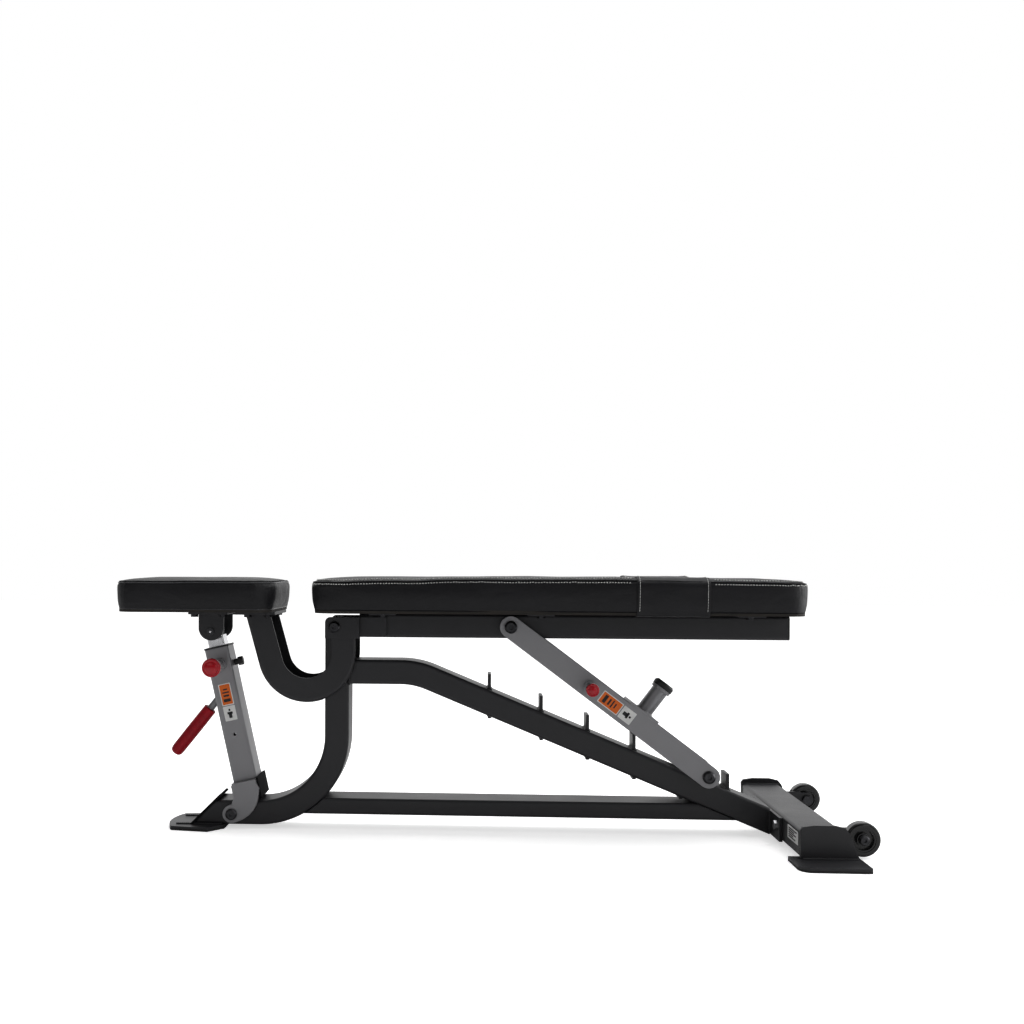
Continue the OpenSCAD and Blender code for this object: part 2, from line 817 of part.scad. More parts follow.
module support_arms() color("#a4a6aa")
    both_sides() difference() {
        translate([0, -arm_in - arm_t / 2, 0]) union() {
            on_arm(0) rotate([90, 0, 0]) cylinder(r = arm_w / 2, h = arm_t, center = true);
            on_arm(arm_len) rotate([90, 0, 0]) cylinder(r = arm_w / 2, h = arm_t, center = true);
            on_arm(0) translate([0, -arm_t / 2, -arm_w / 2]) cube([arm_len, arm_t, arm_w]);
        }
        on_arm(0) rotate([90, 0, 0]) cylinder(r = arm_bolt_r + fit, h = 80);
        on_arm(arm_len) rotate([90, 0, 0]) cylinder(r = arm_bolt_r + fit, h = 80);
        on_arm(arm_pin_s) rotate([90, 0, 0]) cylinder(r = housing_neck_r, h = 80);
    }

module arm_pivot_bolts() color("#8e9196") {
    cross_bar(arm_top, arm_bolt_r, -arm_in - arm_t - 0.3, arm_in + arm_t + 0.3);
    both_sides() button_head(arm_top, arm_head_r, arm_head_h, arm_in + arm_t + 0.3, -1);
}

module arm_cross_pin() color("#8e9196") {
    difference() {
        cross_bar(arm_low, cross_pin_r, -arm_in, arm_in);
        cross_bar(arm_low, arm_bolt_r - 0.5, -arm_in - 1, arm_in + 1);
    }
    cross_bar(arm_low, arm_bolt_r - 0.5, -arm_in - arm_t, arm_in + arm_t);
    both_sides() button_head(arm_low, arm_head_r, arm_head_h, arm_in + arm_t, -1);
}

module lift_handle() color("#9a9ca0") {
    on_arm(bridge_s) translate([-32, -arm_in - arm_t, arm_w / 2])
        cube([64, 2 * (arm_in + arm_t), 5]);
    on_arm(stub_s) translate([0, 0, arm_w / 2 + 4]) {
        cylinder(r = stub_r, h = stub_len);
        translate([0, 0, stub_len - 4]) cylinder(r = 19.5, h = 6);
    }
}

module lift_handle_cap() color("#18181a")
    on_arm(stub_s) translate([0, 0, arm_w / 2 + stub_len + 6]) {
        cylinder(r = 20.5, h = 8);
        translate([0, 0, 8]) cylinder(r1 = 20.5, r2 = 17, h = 4);
    }

// Pull pin on the near arm: housing, pin and knob, drawn outwards from the arm
module arm_pin_housing() color("#8f9195")
    on_arm(arm_pin_s) rotate([90, 0, 0]) difference() {
        union() {
            translate([0, 0, arm_in]) cylinder(r = housing_neck_r, h = arm_t);
            translate([0, 0, arm_in + arm_t]) cylinder(r = 12, h = 6);
            translate([0, 0, arm_in + arm_t + 6]) cylinder(r = 9, h = 34);
        }
        cylinder(r = m10_r + fit, h = 120);
    }

module arm_pull_pin() color("#b9bcc0")
    on_arm(arm_pin_s) rotate([90, 0, 0])
        translate([0, 0, arm_in - 10]) cylinder(r = m10_r, h = arm_t + 56);

module arm_pin_knob() color("#b3122c")
    on_arm(arm_pin_s) rotate([90, 0, 0]) translate([0, 0, arm_in + arm_t + 43])
        pull_knob(12.5, 20);

// Round pull knob with a socket for its pin; r is its radius and h its length
module pull_knob(r, h) {
    rotate_extrude() difference() {
        union() {
            square([r - 4, h]);
            translate([0, 4]) square([r, h - 8]);
            translate([r - 4, 4]) circle(4);
            translate([r - 4, h - 4]) circle(4);
        }
        translate([-r, -1]) square([r + 5, 4]);
        translate([-r, 0]) square([r, h]);
    }
}

module arm_labels() color("#e07b12")
    on_arm(0) translate([0, -arm_in - arm_t - label_t, -arm_label_w / 2]) {
        translate([214, 0, 0]) cube([46, label_t, arm_label_w]);
        translate([262, 0, 0]) cube([28, label_t, arm_label_w]);
    }

front_upright();
front_end_cap();
front_foot_plate();
base_tube();
ladder_tube();
ladder_rungs();
ladder_flange();
flange_bolts();
rear_crossbar();
rear_end_plates();
rear_foot_plates();
foot_soles();
wheel_brackets();
wheel_axles();
near_tyre();
near_hub();
far_tyre();
far_hub();
serial_label();
hinge_bolt();
hinge_bushes();
post_pivot_bolt();
seat_arm_tube();
seat_hinge_plates();
seat_top_plate();
seat_ears();
seat_pin();
seat_board();
seat_cushion();
seat_bolts();
seat_post_outer();
post_bracket();
post_bracket_web();
post_guide_bush();
post_pin_housing();
post_handle_rod();
post_handle_grip();
post_clamp_knob();
post_labels();
seat_post_inner();
post_slider();
post_pull_pin();
post_pin_knob();
back_rail();
rail_end_cap();
back_hinge_plates();
back_mount_plates();
back_board();
back_cushion();
back_band();
back_bolts();
support_arms();
arm_pivot_bolts();
arm_cross_pin();
lift_handle();
lift_handle_cap();
arm_pin_housing();
arm_pull_pin();
arm_pin_knob();
arm_labels();
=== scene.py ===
"""Looks for the adjustable weight bench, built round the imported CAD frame."""
import json
import math

import bpy
from mathutils import Matrix, Vector, noise
from mathutils.bvhtree import BVHTree


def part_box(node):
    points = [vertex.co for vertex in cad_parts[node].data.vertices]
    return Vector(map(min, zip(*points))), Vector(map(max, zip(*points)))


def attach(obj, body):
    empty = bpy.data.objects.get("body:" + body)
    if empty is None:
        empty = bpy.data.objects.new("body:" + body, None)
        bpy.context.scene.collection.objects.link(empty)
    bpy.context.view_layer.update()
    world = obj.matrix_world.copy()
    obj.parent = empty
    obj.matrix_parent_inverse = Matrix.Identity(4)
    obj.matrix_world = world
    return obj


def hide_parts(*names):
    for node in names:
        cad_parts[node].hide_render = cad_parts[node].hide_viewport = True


scene = bpy.context.scene
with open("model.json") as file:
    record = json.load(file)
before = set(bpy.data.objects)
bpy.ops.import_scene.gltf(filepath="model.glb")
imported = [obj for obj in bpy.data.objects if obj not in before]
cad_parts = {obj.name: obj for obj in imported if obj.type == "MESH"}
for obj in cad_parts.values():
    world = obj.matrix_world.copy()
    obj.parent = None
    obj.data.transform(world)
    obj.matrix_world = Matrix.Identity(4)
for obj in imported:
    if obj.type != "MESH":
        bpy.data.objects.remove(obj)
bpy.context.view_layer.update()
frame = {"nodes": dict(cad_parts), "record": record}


# ---------------------------------------------------------------- mesh helpers

X, Y, Z = Vector((1, 0, 0)), Vector((0, 1, 0)), Vector((0, 0, 1))
# Sign of X, sign of Y and starting angle of each corner of a rectangle, in order
CORNERS = ((1, 1, 0), (-1, 1, 90), (-1, -1, 180), (1, -1, 270))


def add_object(name, verts, faces, material, smooth=True, body=None):
    """A mesh object from plain lists. material is one material or a list of them."""
    mesh = bpy.data.meshes.new(name)
    mesh.from_pydata([tuple(v) for v in verts], [], faces)
    mesh.validate()
    for m in material if isinstance(material, list) else [material]:
        mesh.materials.append(m)
    for p in mesh.polygons:
        p.use_smooth = smooth
    obj = bpy.data.objects.new(name, mesh)
    scene.collection.objects.link(obj)
    if body:
        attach(obj, body)
    return obj


class Parts:
    """Collects the vertices and faces of many small shapes for one object."""

    def __init__(self):
        self.verts, self.faces, self.slots = [], [], []

    def add(self, verts, faces, slot=0):
        base = len(self.verts)
        self.verts += [Vector(v) for v in verts]
        self.faces += [[base + i for i in f] for f in faces]
        self.slots += [slot] * len(faces)

    def make(self, name, material, body, smooth=True):
        obj = add_object(name, self.verts, self.faces, material, smooth, body)
        for p, s in zip(obj.data.polygons, self.slots):
            p.material_index = s
        return obj


def frame_along(points, closed):
    """Tangent, side and up for each point of a path, without twist."""
    n = len(points)
    out = []
    up = None
    for i, p in enumerate(points):
        a = points[(i - 1) % n] if closed or i > 0 else p
        b = points[(i + 1) % n] if closed or i < n - 1 else p
        t = (b - a).normalized()
        if up is None:
            ref = Vector((0, 0, 1)) if abs(t.z) < 0.9 else Vector((0, 1, 0))
            up = (ref - t * ref.dot(t)).normalized()
        up = (up - t * up.dot(t)).normalized()
        out.append((t, t.cross(up), up))
    return out


def tube(points, radius, sides=8, closed=False):
    """Vertices and faces of a round tube. radius is a number or a function of the index."""
    points = [Vector(p) for p in points]
    verts, faces = [], []
    n = len(points)
    for i, (p, (t, side, up)) in enumerate(zip(points, frame_along(points, closed))):
        r = radius(i) if callable(radius) else radius
        for k in range(sides):
            a = 2 * math.pi * k / sides
            verts.append(p + (side * math.cos(a) + up * math.sin(a)) * r)
    for i in range(n if closed else n - 1):
        for k in range(sides):
            a, b = i * sides, ((i + 1) % n) * sides
            k2 = (k + 1) % sides
            faces.append([a + k, a + k2, b + k2, b + k])
    if not closed:
        faces.append(list(range(sides))[::-1])
        faces.append([(n - 1) * sides + k for k in range(sides)])
    return verts, faces


def loft(rings):
    """A closed skin through rings of the same number of points, flat at both ends."""
    n = len(rings[0])
    verts = [v for r in rings for v in r]
    faces = []
    for i in range(len(rings) - 1):
        a, b = i * n, (i + 1) * n
        for k in range(n):
            k2 = (k + 1) % n
            faces.append([a + k, a + k2, b + k2, b + k])
    faces.append(list(range(n))[::-1])
    faces.append([(len(rings) - 1) * n + k for k in range(n)])
    return verts, faces


def quarter(centre, r, a0, n, u, v):
    """Points on a quarter circle about centre, starting at a0 degrees from u towards v."""
    turns = [math.radians(a0 + 90 * k / n) for k in range(n + 1)]
    return [centre + (u * math.cos(a) + v * math.sin(a)) * r for a in turns]


def plan_ring(x0, x1, w, r, inset, z, step=0.012, arc=10, grow=0.0):
    """Points round a pad's plan, moved in by inset, with its corners rounder by grow.

    Every inset and grow gives the same number of points."""
    hx, hy = (x1 - x0) / 2, w / 2
    cx = (x0 + x1) / 2
    nx, ny = max(2, round((2 * hx - 2 * r) / step)), max(2, round((2 * hy - 2 * r) / step))
    rr = max(r + grow - inset, 0.0006)
    hx, hy = hx - inset, hy - inset
    pts = []
    for i, (sx, sy, a0) in enumerate(CORNERS):
        c = Vector((cx + sx * (hx - rr), sy * (hy - rr), z))
        pts += quarter(c, rr, a0, arc, X, Y)
        nxt = CORNERS[(i + 1) % 4]
        c2 = Vector((cx + nxt[0] * (hx - rr), nxt[1] * (hy - rr), z))
        a = math.radians(a0 + 90)
        off = Vector((math.cos(a), math.sin(a), 0)) * rr
        count = nx if i % 2 == 0 else ny
        for k in range(1, count):
            pts.append(c.lerp(c2, k / count) + off)
    return pts


def plate(outline, thick):
    """A flat plate from an outline of 3-D points, grown upwards by thick."""
    up = Vector((0, 0, thick))
    n = len(outline)
    verts = [Vector(p) for p in outline] + [Vector(p) + up for p in outline]
    faces = [list(range(n))[::-1], list(range(n, 2 * n))]
    faces += [[k, (k + 1) % n, n + (k + 1) % n, n + k] for k in range(n)]
    return verts, faces


# ---------------------------------------------------------------- materials

class Nodes:
    """Short way to build a node tree."""

    def __init__(self, name):
        self.mat = bpy.data.materials.new(name)
        self.mat.use_nodes = True
        self.t = self.mat.node_tree
        self.t.nodes.clear()
        self.out = self.new("ShaderNodeOutputMaterial")
        self.bsdf = self.new("ShaderNodeBsdfPrincipled")
        self.link(self.bsdf.outputs[0], self.out.inputs[0])
        self.co = self.new("ShaderNodeTexCoord").outputs["Object"]

    def new(self, kind, **values):
        n = self.t.nodes.new(kind)
        for k, v in values.items():
            if k.startswith("_"):
                setattr(n, k[1:], v)
            else:
                n.inputs[k.replace("__", " ")].default_value = v
        return n

    def link(self, a, b):
        self.t.links.new(a, b)
        return self

    def noise(self, scale, detail=3.0, rough=0.55, co=None, distortion=0.0):
        n = self.new("ShaderNodeTexNoise", Scale=scale, Detail=detail, Roughness=rough,
                     Distortion=distortion)
        self.link(co or self.co, n.inputs["Vector"])
        return n.outputs["Fac"]

    def voronoi(self, scale, feature="F1"):
        n = self.new("ShaderNodeTexVoronoi", Scale=scale, _feature=feature)
        self.link(self.co, n.inputs["Vector"])
        return n.outputs["Distance"]

    def ramp(self, fac, lo, hi, a=0.0, b=1.0):
        """Maps fac from a..b to lo..hi."""
        n = self.new("ShaderNodeMapRange")
        n.inputs["From Min"].default_value, n.inputs["From Max"].default_value = a, b
        n.inputs["To Min"].default_value, n.inputs["To Max"].default_value = lo, hi
        self.link(fac, n.inputs["Value"])
        return n.outputs[0]

    def mix(self, fac, c1, c2):
        """Colour c1 where fac is 0 and c2 where it is 1."""
        n = self.new("ShaderNodeMix", _data_type="RGBA")
        for sock, v in ((n.inputs[0], fac), (n.inputs[6], c1), (n.inputs[7], c2)):
            if isinstance(v, bpy.types.NodeSocket):
                self.link(v, sock)
            elif isinstance(v, (int, float)):
                sock.default_value = v
            else:
                sock.default_value = (*v, 1)
        return n.outputs[2]

    def math(self, op, a, b):
        n = self.new("ShaderNodeMath", _operation=op)
        for sock, v in zip(n.inputs, (a, b)):
            if isinstance(v, bpy.types.NodeSocket):
                self.link(v, sock)
            else:
                sock.default_value = v
        return n.outputs[0]

    def bump(self, height, strength, distance, normal=None):
        n = self.new("ShaderNodeBump", Strength=strength, Distance=distance)
        self.link(height, n.inputs["Height"])
        if normal is not None:
            self.link(normal, n.inputs["Normal"])
        return n.outputs[0]

    def stretch(self, sx, sy, sz):
        n = self.new("ShaderNodeMapping")
        n.inputs["Scale"].default_value = (sx, sy, sz)
        self.link(self.co, n.inputs["Vector"])
        return n.outputs[0]

    def edges(self, radius):
        """Rounded normal, and a mask that is 1 on edges."""
        b = self.new("ShaderNodeBevel", _samples=4, Radius=radius)
        g = self.new("ShaderNodeNewGeometry")
        d = self.new("ShaderNodeVectorMath", _operation="DOT_PRODUCT")
        self.link(b.outputs[0], d.inputs[0]).link(g.outputs["True Normal"], d.inputs[1])
        return b.outputs[0], self.ramp(d.outputs["Value"], 1.0, 0.0, 0.75, 0.97)

    def finish(self, color=None, rough=None, normal=None, **values):
        for sock, v in (("Base Color", color), ("Roughness", rough), ("Normal", normal)):
            if v is None:
                continue
            if isinstance(v, bpy.types.NodeSocket):
                self.link(v, self.bsdf.inputs[sock])
            elif sock == "Base Color":
                self.bsdf.inputs[sock].default_value = (*v, 1)
            else:
                self.bsdf.inputs[sock].default_value = v
        for k, v in values.items():
            self.bsdf.inputs[k.replace("__", " ")].default_value = v
        return self.mat


def powder_coat(name, color, lift, rough, metallic=0.0, grain=900):
    """Sprayed and baked paint: fine orange peel, soft tone changes, rubbed edges."""
    n = Nodes(name)
    rounded, edge = n.edges(0.0016)
    cloud = n.noise(9, 4)
    speck = n.noise(grain, 2, 0.6)
    tone = n.mix(n.ramp(cloud, 0.0, 1.0, 0.3, 0.7), color, [c * lift for c in color])
    worn = n.math("MULTIPLY", edge, n.ramp(n.noise(60, 4), 0.0, 0.5, 0.45, 0.75))
    tone = n.mix(worn, tone, [min(1, c * 2.2 + 0.03) for c in color])
    r = n.math("ADD", n.ramp(cloud, rough - 0.04, rough + 0.05, 0.3, 0.7),
               n.ramp(speck, -0.05, 0.05, 0.3, 0.7))
    peel = n.bump(speck, 0.12, 0.0004, rounded)
    return n.finish(tone, r, peel, Metallic=metallic, IOR=1.5)


def steel(name, color, rough, brushed=(1, 1, 1)):
    """Turned or drawn steel with fine lines and faint stains; brushed stretches the lines."""
    n = Nodes(name)
    rounded, edge = n.edges(0.0005)
    lines = n.noise(700, 3, 0.6, n.stretch(*brushed))
    stain = n.noise(35, 4)
    tone = n.mix(n.ramp(stain, 0, 1, 0.35, 0.7), color, [c * 0.72 for c in color])
    tone = n.mix(n.math("MULTIPLY", edge, 0.5), tone, [min(1, c * 1.3) for c in color])
    r = n.math("ADD", n.ramp(lines, rough - 0.08, rough + 0.1, 0.3, 0.7),
               n.ramp(stain, -0.04, 0.06))
    return n.finish(tone, r, n.bump(lines, 0.08, 0.0003, rounded), Metallic=1.0)


def plastic(name, color, rough, grain=600, lift=1.5, coat=0.0):
    """Moulded plastic: finely pitted, with paler edges."""
    n = Nodes(name)
    rounded, edge = n.edges(0.0008)
    pits = n.voronoi(grain)
    cloud = n.noise(40, 3)
    tone = n.mix(n.ramp(cloud, 0, 1, 0.35, 0.7), color, [c * lift for c in color])
    tone = n.mix(n.math("MULTIPLY", edge, 0.4), tone, [min(1, c * 1.8 + 0.02) for c in color])
    r = n.math("ADD", n.ramp(cloud, rough - 0.03, rough + 0.06), n.ramp(pits, -0.03, 0.03))
    return n.finish(tone, r, n.bump(pits, 0.15, 0.0003, rounded), Coat__Weight=coat)


def vinyl(name, color, rough, fold=0.6):
    """Upholstery vinyl: pebbled grain, long soft wrinkles, a slightly greasy gloss."""
    n = Nodes(name)
    warp = n.noise(60, 2)
    cells = n.voronoi(620, "SMOOTH_F1")
    creases = n.voronoi(310, "DISTANCE_TO_EDGE")
    fine = n.noise(1500, 2)
    grain = n.math("ADD", n.math("MULTIPLY", n.ramp(creases, 0, 1, 0, 0.25), 0.6),
                   n.math("ADD", n.math("MULTIPLY", cells, 0.5), n.math("MULTIPLY", fine, 0.3)))
    folds = n.noise(16, 3, 0.5, n.stretch(1.0, 1.6, 2.2), distortion=0.6)
    worn = n.noise(7, 4)
    tone = n.mix(n.ramp(worn, 0, 1, 0.35, 0.7), color, [c * 1.5 for c in color])
    tone = n.mix(n.ramp(grain, 0.35, 0.0, 0.2, 0.6), tone, [c * 0.5 for c in color])
    r = n.math("ADD", n.ramp(worn, rough - 0.05, rough + 0.07, 0.3, 0.7),
               n.ramp(warp, -0.04, 0.04, 0.3, 0.7))
    normal = n.bump(grain, 0.22, 0.0006, n.bump(folds, fold, 0.004))
    return n.finish(tone, r, normal, Specular__IOR__Level=0.32)


def rubber(name, color, rough, level=0.5):
    """Dull rubber or dead matt paint, with a little dust."""
    n = Nodes(name)
    rounded, edge = n.edges(0.001)
    dust = n.noise(25, 5, 0.6)
    fine = n.noise(800, 2)
    tone = n.mix(n.ramp(dust, 0, 0.7, 0.45, 0.75), color, [c * 2.2 + 0.006 for c in color])
    tone = n.mix(n.math("MULTIPLY", edge, 0.35), tone, [c * 3 + 0.01 for c in color])
    r = n.ramp(dust, rough - 0.06, rough + 0.1, 0.3, 0.7)
    return n.finish(tone, r, n.bump(fine, 0.15, 0.0004, rounded), Specular__IOR__Level=level)


def foam_grip(name, color):
    """Soft grip rubber with fine cells."""
    n = Nodes(name)
    cells = n.voronoi(900)
    cloud = n.noise(50, 4)
    tone = n.mix(n.ramp(cloud, 0, 1, 0.3, 0.7), color, [c * 0.6 for c in color])
    tone = n.mix(n.ramp(cells, 0.4, 0.0, 0.0, 0.5), tone, [c * 0.4 for c in color])
    return n.finish(tone, n.ramp(cells, 0.40, 0.55), n.bump(cells, 0.15, 0.0004),
                    Specular__IOR__Level=0.4)


def plywood(name):
    """Board stained black, with faint plies on its edge."""
    n = Nodes(name)
    plies = n.noise(240, 2, 0.5, n.stretch(0.05, 0.05, 6.0))
    grain = n.noise(90, 4, 0.6, n.stretch(0.25, 2.0, 2.0), distortion=0.4)
    tone = n.mix(n.ramp(plies, 0, 1, 0.35, 0.65), (0.010, 0.009, 0.008), (0.028, 0.024, 0.020))
    tone = n.mix(n.ramp(grain, 0, 0.5, 0.4, 0.7), tone, (0.040, 0.032, 0.026))
    return n.finish(tone, n.ramp(grain, 0.6, 0.75), n.bump(grain, 0.25, 0.0008))


def printed(name, color):
    """Ink on a slightly uneven sticker film."""
    n = Nodes(name)
    cloud = n.noise(90, 3)
    fine = n.noise(1200, 2)
    tone = n.mix(n.ramp(cloud, 0, 1, 0.3, 0.7), color, [c * 0.88 for c in color])
    return n.finish(tone, n.ramp(cloud, 0.34, 0.46), n.bump(fine, 0.05, 0.0002))


def thread(name, color):
    """Twisted sewing thread."""
    n = Nodes(name)
    twist = n.noise(1400, 2, 0.5, n.stretch(1, 1, 0.4))
    tone = n.mix(n.ramp(twist, 0, 1, 0.3, 0.7), color, [c * 0.6 for c in color])
    return n.finish(tone, 0.62, n.bump(twist, 0.4, 0.0004), Sheen__Weight=0.2)


charcoal = powder_coat("charcoal_paint", (0.026, 0.026, 0.029), 1.2, 0.38)
silver = powder_coat("silver_paint", (0.285, 0.283, 0.295), 1.08, 0.36, metallic=0.3, grain=1400)
bolt_steel = steel("bolt_steel", (0.42, 0.42, 0.43), 0.32)
black_steel = steel("black_oxide", (0.075, 0.075, 0.080), 0.30)
chrome_tube = steel("bright_tube", (0.78, 0.78, 0.80), 0.16, (1, 1, 0.06))
bronze = steel("bronze", (0.45, 0.33, 0.16), 0.35)
black_plastic = plastic("black_plastic", (0.018, 0.018, 0.019), 0.46)
hub_plastic = plastic("hub_plastic", (0.010, 0.010, 0.011), 0.24, coat=0.2)
red_plastic = plastic("red_plastic", (0.40, 0.002, 0.012), 0.20, coat=0.2, lift=1.12)
black_rubber = rubber("black_rubber", (0.014, 0.014, 0.015), 0.62)
matte_black = rubber("matte_black_paint", (0.009, 0.009, 0.010), 0.80, 0.12)
wheel_rubber = plastic("wheel_tyre", (0.0050, 0.0050, 0.0056), 0.14, grain=500, lift=1.3,
                       coat=0.2)
red_foam = foam_grip("red_grip_rubber", (0.46, 0.002, 0.016))
pad_vinyl = vinyl("pad_vinyl", (0.0100, 0.0100, 0.0118), 0.42)
band_vinyl = vinyl("band_vinyl", (0.0110, 0.0110, 0.0130), 0.44, 0.45)
# a paler, glossier copy of the pad vinyl for the seat's piping: painted highlight along the seam
seam_highlight_vinyl = vinyl("seam_highlight_vinyl", (0.0480, 0.0480, 0.0520), 0.25, 0.3)
board_wood = plywood("stained_ply")
label_orange = printed("label_orange", (0.80, 0.17, 0.012))
label_white = printed("label_white", (0.80, 0.80, 0.79))
label_ink = printed("label_ink", (0.02, 0.02, 0.022))
white_thread = thread("white_thread", (0.86, 0.86, 0.84))

LOOK = {
    "frame_paint": charcoal, "silver_paint": silver, "black_paint": matte_black,
    "bright_steel": bolt_steel, "black_steel": black_steel, "bronze": bronze,
    "black_plastic": black_plastic, "hub_plastic": hub_plastic, "black_rubber": black_rubber,
    "red_grip": red_foam, "red_plastic": red_plastic, "pad_vinyl": pad_vinyl,
    "plywood": board_wood, "label_orange": label_orange, "label_white": label_white,
}
# Pieces that look different from the rest of their slot
OWN = {
    "front_end_cap": matte_black, "seat_post_inner": chrome_tube,
    "near_tyre": wheel_rubber, "far_tyre": wheel_rubber,
}
slot_of = {s["node"]: s["material_slot"] for s in frame["record"]["subparts"]}
for node, obj in frame["nodes"].items():
    look = OWN.get(node) or LOOK[slot_of[node]]
    for s in obj.material_slots:
        s.material = look


# ---------------------------------------------------------------- pads

SEAT_CORNER = 0.042
BACK_CORNER = 0.045
GROW = 0.012            # how much rounder the corners are along the seam than round the board
SEAM_INSET = 0.0018     # the seam, in from the fullest part of the side
ROLL = 0.0075           # how quickly the top panel rises from the seam
INFLATE_CAP = 0.0030    # the most that the simulated cover swells
VOXEL = 0.005
ARCH_X, ARCH_HALF, ARCH_RISE = 0.18, 0.44, 0.0060     # the slow rise of the back pad's seam


def shell(name, x0, x1, w, r, z_low, z_seam, z_top):
    """Closed starting shape of a pad, a little smaller than the finished one."""
    drop = z_top - z_seam
    prof = [(0.024, z_low), (0.012, z_low), (0.0064, z_low + 0.0005), (0.0056, z_low + 0.005),
            (0.0036, z_low + 0.012), (0.0014, z_low + 0.022), (-0.0002, z_seam - 0.016),
            (-0.0004, z_seam - 0.007), (0.0004, z_seam - 0.002), (SEAM_INSET, z_seam)]
    for d in (0.002, 0.004, 0.008, 0.014, 0.024, 0.040, 0.060, 0.080, 0.100, w / 2 - 0.006):
        prof.append((SEAM_INSET + d, z_seam + drop * (1 - math.exp(-d / ROLL))))
    rings = []
    for inset, z in prof:
        up = min(1, max(0, (z - z_low) / (0.6 * (z_seam - z_low))))
        rings.append(plan_ring(x0, x1, w, r, inset, z, grow=GROW * up))
    verts, faces = loft(rings)
    return add_object(name, verts, faces, pad_vinyl)


def apply_modifiers(obj):
    """Puts the modified mesh in place of an object's own."""
    dg = bpy.context.evaluated_depsgraph_get()
    mesh = bpy.data.meshes.new_from_object(obj.evaluated_get(dg))
    obj.modifiers.clear()
    old = obj.data
    obj.data = mesh
    bpy.data.meshes.remove(old)
    for p in mesh.polygons:
        p.use_smooth = True


def inflate(obj, hold):
    """Swells a pad's cover with cloth. hold(co) is how firmly a point is sewn down."""
    start = [v.co.copy() for v in obj.data.vertices]
    group = obj.vertex_groups.new(name="sewn")
    for i, co in enumerate(start):
        firm = hold(co)
        if firm > 0:
            group.add([i], firm, "REPLACE")
    cloth = obj.modifiers.new("cloth", "CLOTH")
    s = cloth.settings
    s.quality = 5
    s.mass = 0.3
    s.tension_stiffness = s.compression_stiffness = 12
    s.shear_stiffness = 6
    s.bending_stiffness = 0.6
    s.use_pressure = True
    s.uniform_pressure_force = 3.0
    s.effector_weights.gravity = 0
    s.vertex_group_mass = "sewn"
    cloth.collision_settings.use_self_collision = False
    last = 20
    cloth.point_cache.frame_start, cloth.point_cache.frame_end = 1, last
    for f in range(1, last + 1):
        scene.frame_set(f)
    dg = bpy.context.evaluated_depsgraph_get()
    moved = [v.co.copy() for v in obj.evaluated_get(dg).data.vertices]
    obj.modifiers.remove(cloth)
    for v, a, b in zip(obj.data.vertices, start, moved):
        d = b - a
        if d.length > INFLATE_CAP:
            d *= INFLATE_CAP / d.length
        v.co = a + d
    scene.frame_set(1)


def edge_distance(co, x0, x1, w, r):
    """How far a point is inside a pad's plan, and the outward direction there."""
    hx, hy = (x1 - x0) / 2 - r, w / 2 - r
    p = Vector((co.x - (x0 + x1) / 2, co.y, 0))
    q = Vector((max(-hx, min(hx, p.x)), max(-hy, min(hy, p.y)), 0))
    d = p - q
    if d.length > 1e-6:
        return r - d.length, d.normalized()
    gx, gy = hx - abs(p.x), hy - abs(p.y)
    if gx < gy:
        return gx + r, Vector((math.copysign(1, p.x), 0, 0))
    return gy + r, Vector((0, math.copysign(1, p.y), 0))


def seam_wave(x, y):
    """How far the sewn edge rises or sags at a place on the pads."""
    slow = noise.noise(Vector((x * 7 + 3.0, y * 5, 9.3))) * 0.0012
    arch = max(0, 1 - ((x - ARCH_X) / ARCH_HALF) ** 2) * ARCH_RISE
    return slow + arch + noise.noise(Vector((x * 24, y * 17, 2.6))) * 0.0007


def make_pad(name, node, body, x0, x1, w, r, z_low, z_seam, z_top, cross=()):
    """A sewn pad: side panel, top panel and a tight seam between them."""
    obj = shell(name, x0, x1, w, r, z_low, z_seam, z_top)
    remesh = obj.modifiers.new("remesh", "REMESH")
    remesh.mode = "VOXEL"
    remesh.voxel_size = VOXEL
    apply_modifiers(obj)

    def hold(co):
        d, _ = edge_distance(co, x0, x1, w, r)
        if co.z < z_low + 0.004:
            return 1.0
        if d < 0.012 and abs(co.z - z_seam) < 0.0035:
            return 1.0
        for x in cross:
            if abs(co.x - x) < 0.0035:
                return 0.6
        return 0.0

    inflate(obj, hold)
    sub = obj.modifiers.new("sub", "SUBSURF")
    sub.levels = sub.render_levels = 1
    apply_modifiers(obj)
    # puckers run off the seam, and the foam under the cover isn't quite even
    normals = [n.vector.copy() for n in obj.data.vertex_normals]
    for v, normal in zip(obj.data.vertices, normals):
        co = v.co
        d, out = edge_distance(co, x0, x1, w, r)
        along = co.x * abs(out.y) + co.y * abs(out.x)
        h = abs(co.z - z_seam) + max(0, d - 0.01) * (co.z > z_seam - 0.004)
        slow = noise.noise(Vector((co.x * 11, co.y * 11, co.z * 14 + 3.1)))
        fast = noise.noise(Vector((along * 130, 7.7, h * 30)))
        corner = min(1, abs(out.x * out.y) * 2.2)
        pucker = fast * (0.00035 + 0.00055 * corner) * math.exp(-h / 0.016)
        groove = -0.0008 * math.exp(-((h - 0.0028) / 0.0016) ** 2)
        if co.z < z_low + 0.003:
            slow *= 0.1
            pucker = 0
        v.co = co + normal * (slow * 0.0007 + pucker + groove)
        climb = min(1, max(0, (co.z - z_low - 0.015) / (z_seam - z_low - 0.022)))
        v.co.z += seam_wave(co.x, co.y) * climb * math.exp(-(max(0, d - 0.008) / 0.05) ** 2)
    # the lower edge is pulled round the board
    for v in obj.data.vertices:
        if v.co.z < z_low:
            v.co.z = z_low
    obj.data.update()
    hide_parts(node)
    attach(obj, body)
    return obj


def surface_of(obj):
    """The finished skin of an object, to lay stitches and trim on."""
    dg = bpy.context.evaluated_depsgraph_get()
    return BVHTree.FromObject(obj, dg)


def near(tree, p, lift):
    """The closest point of a surface, lifted off it."""
    co, n, _, _ = tree.find_nearest(p)
    return co + n * lift


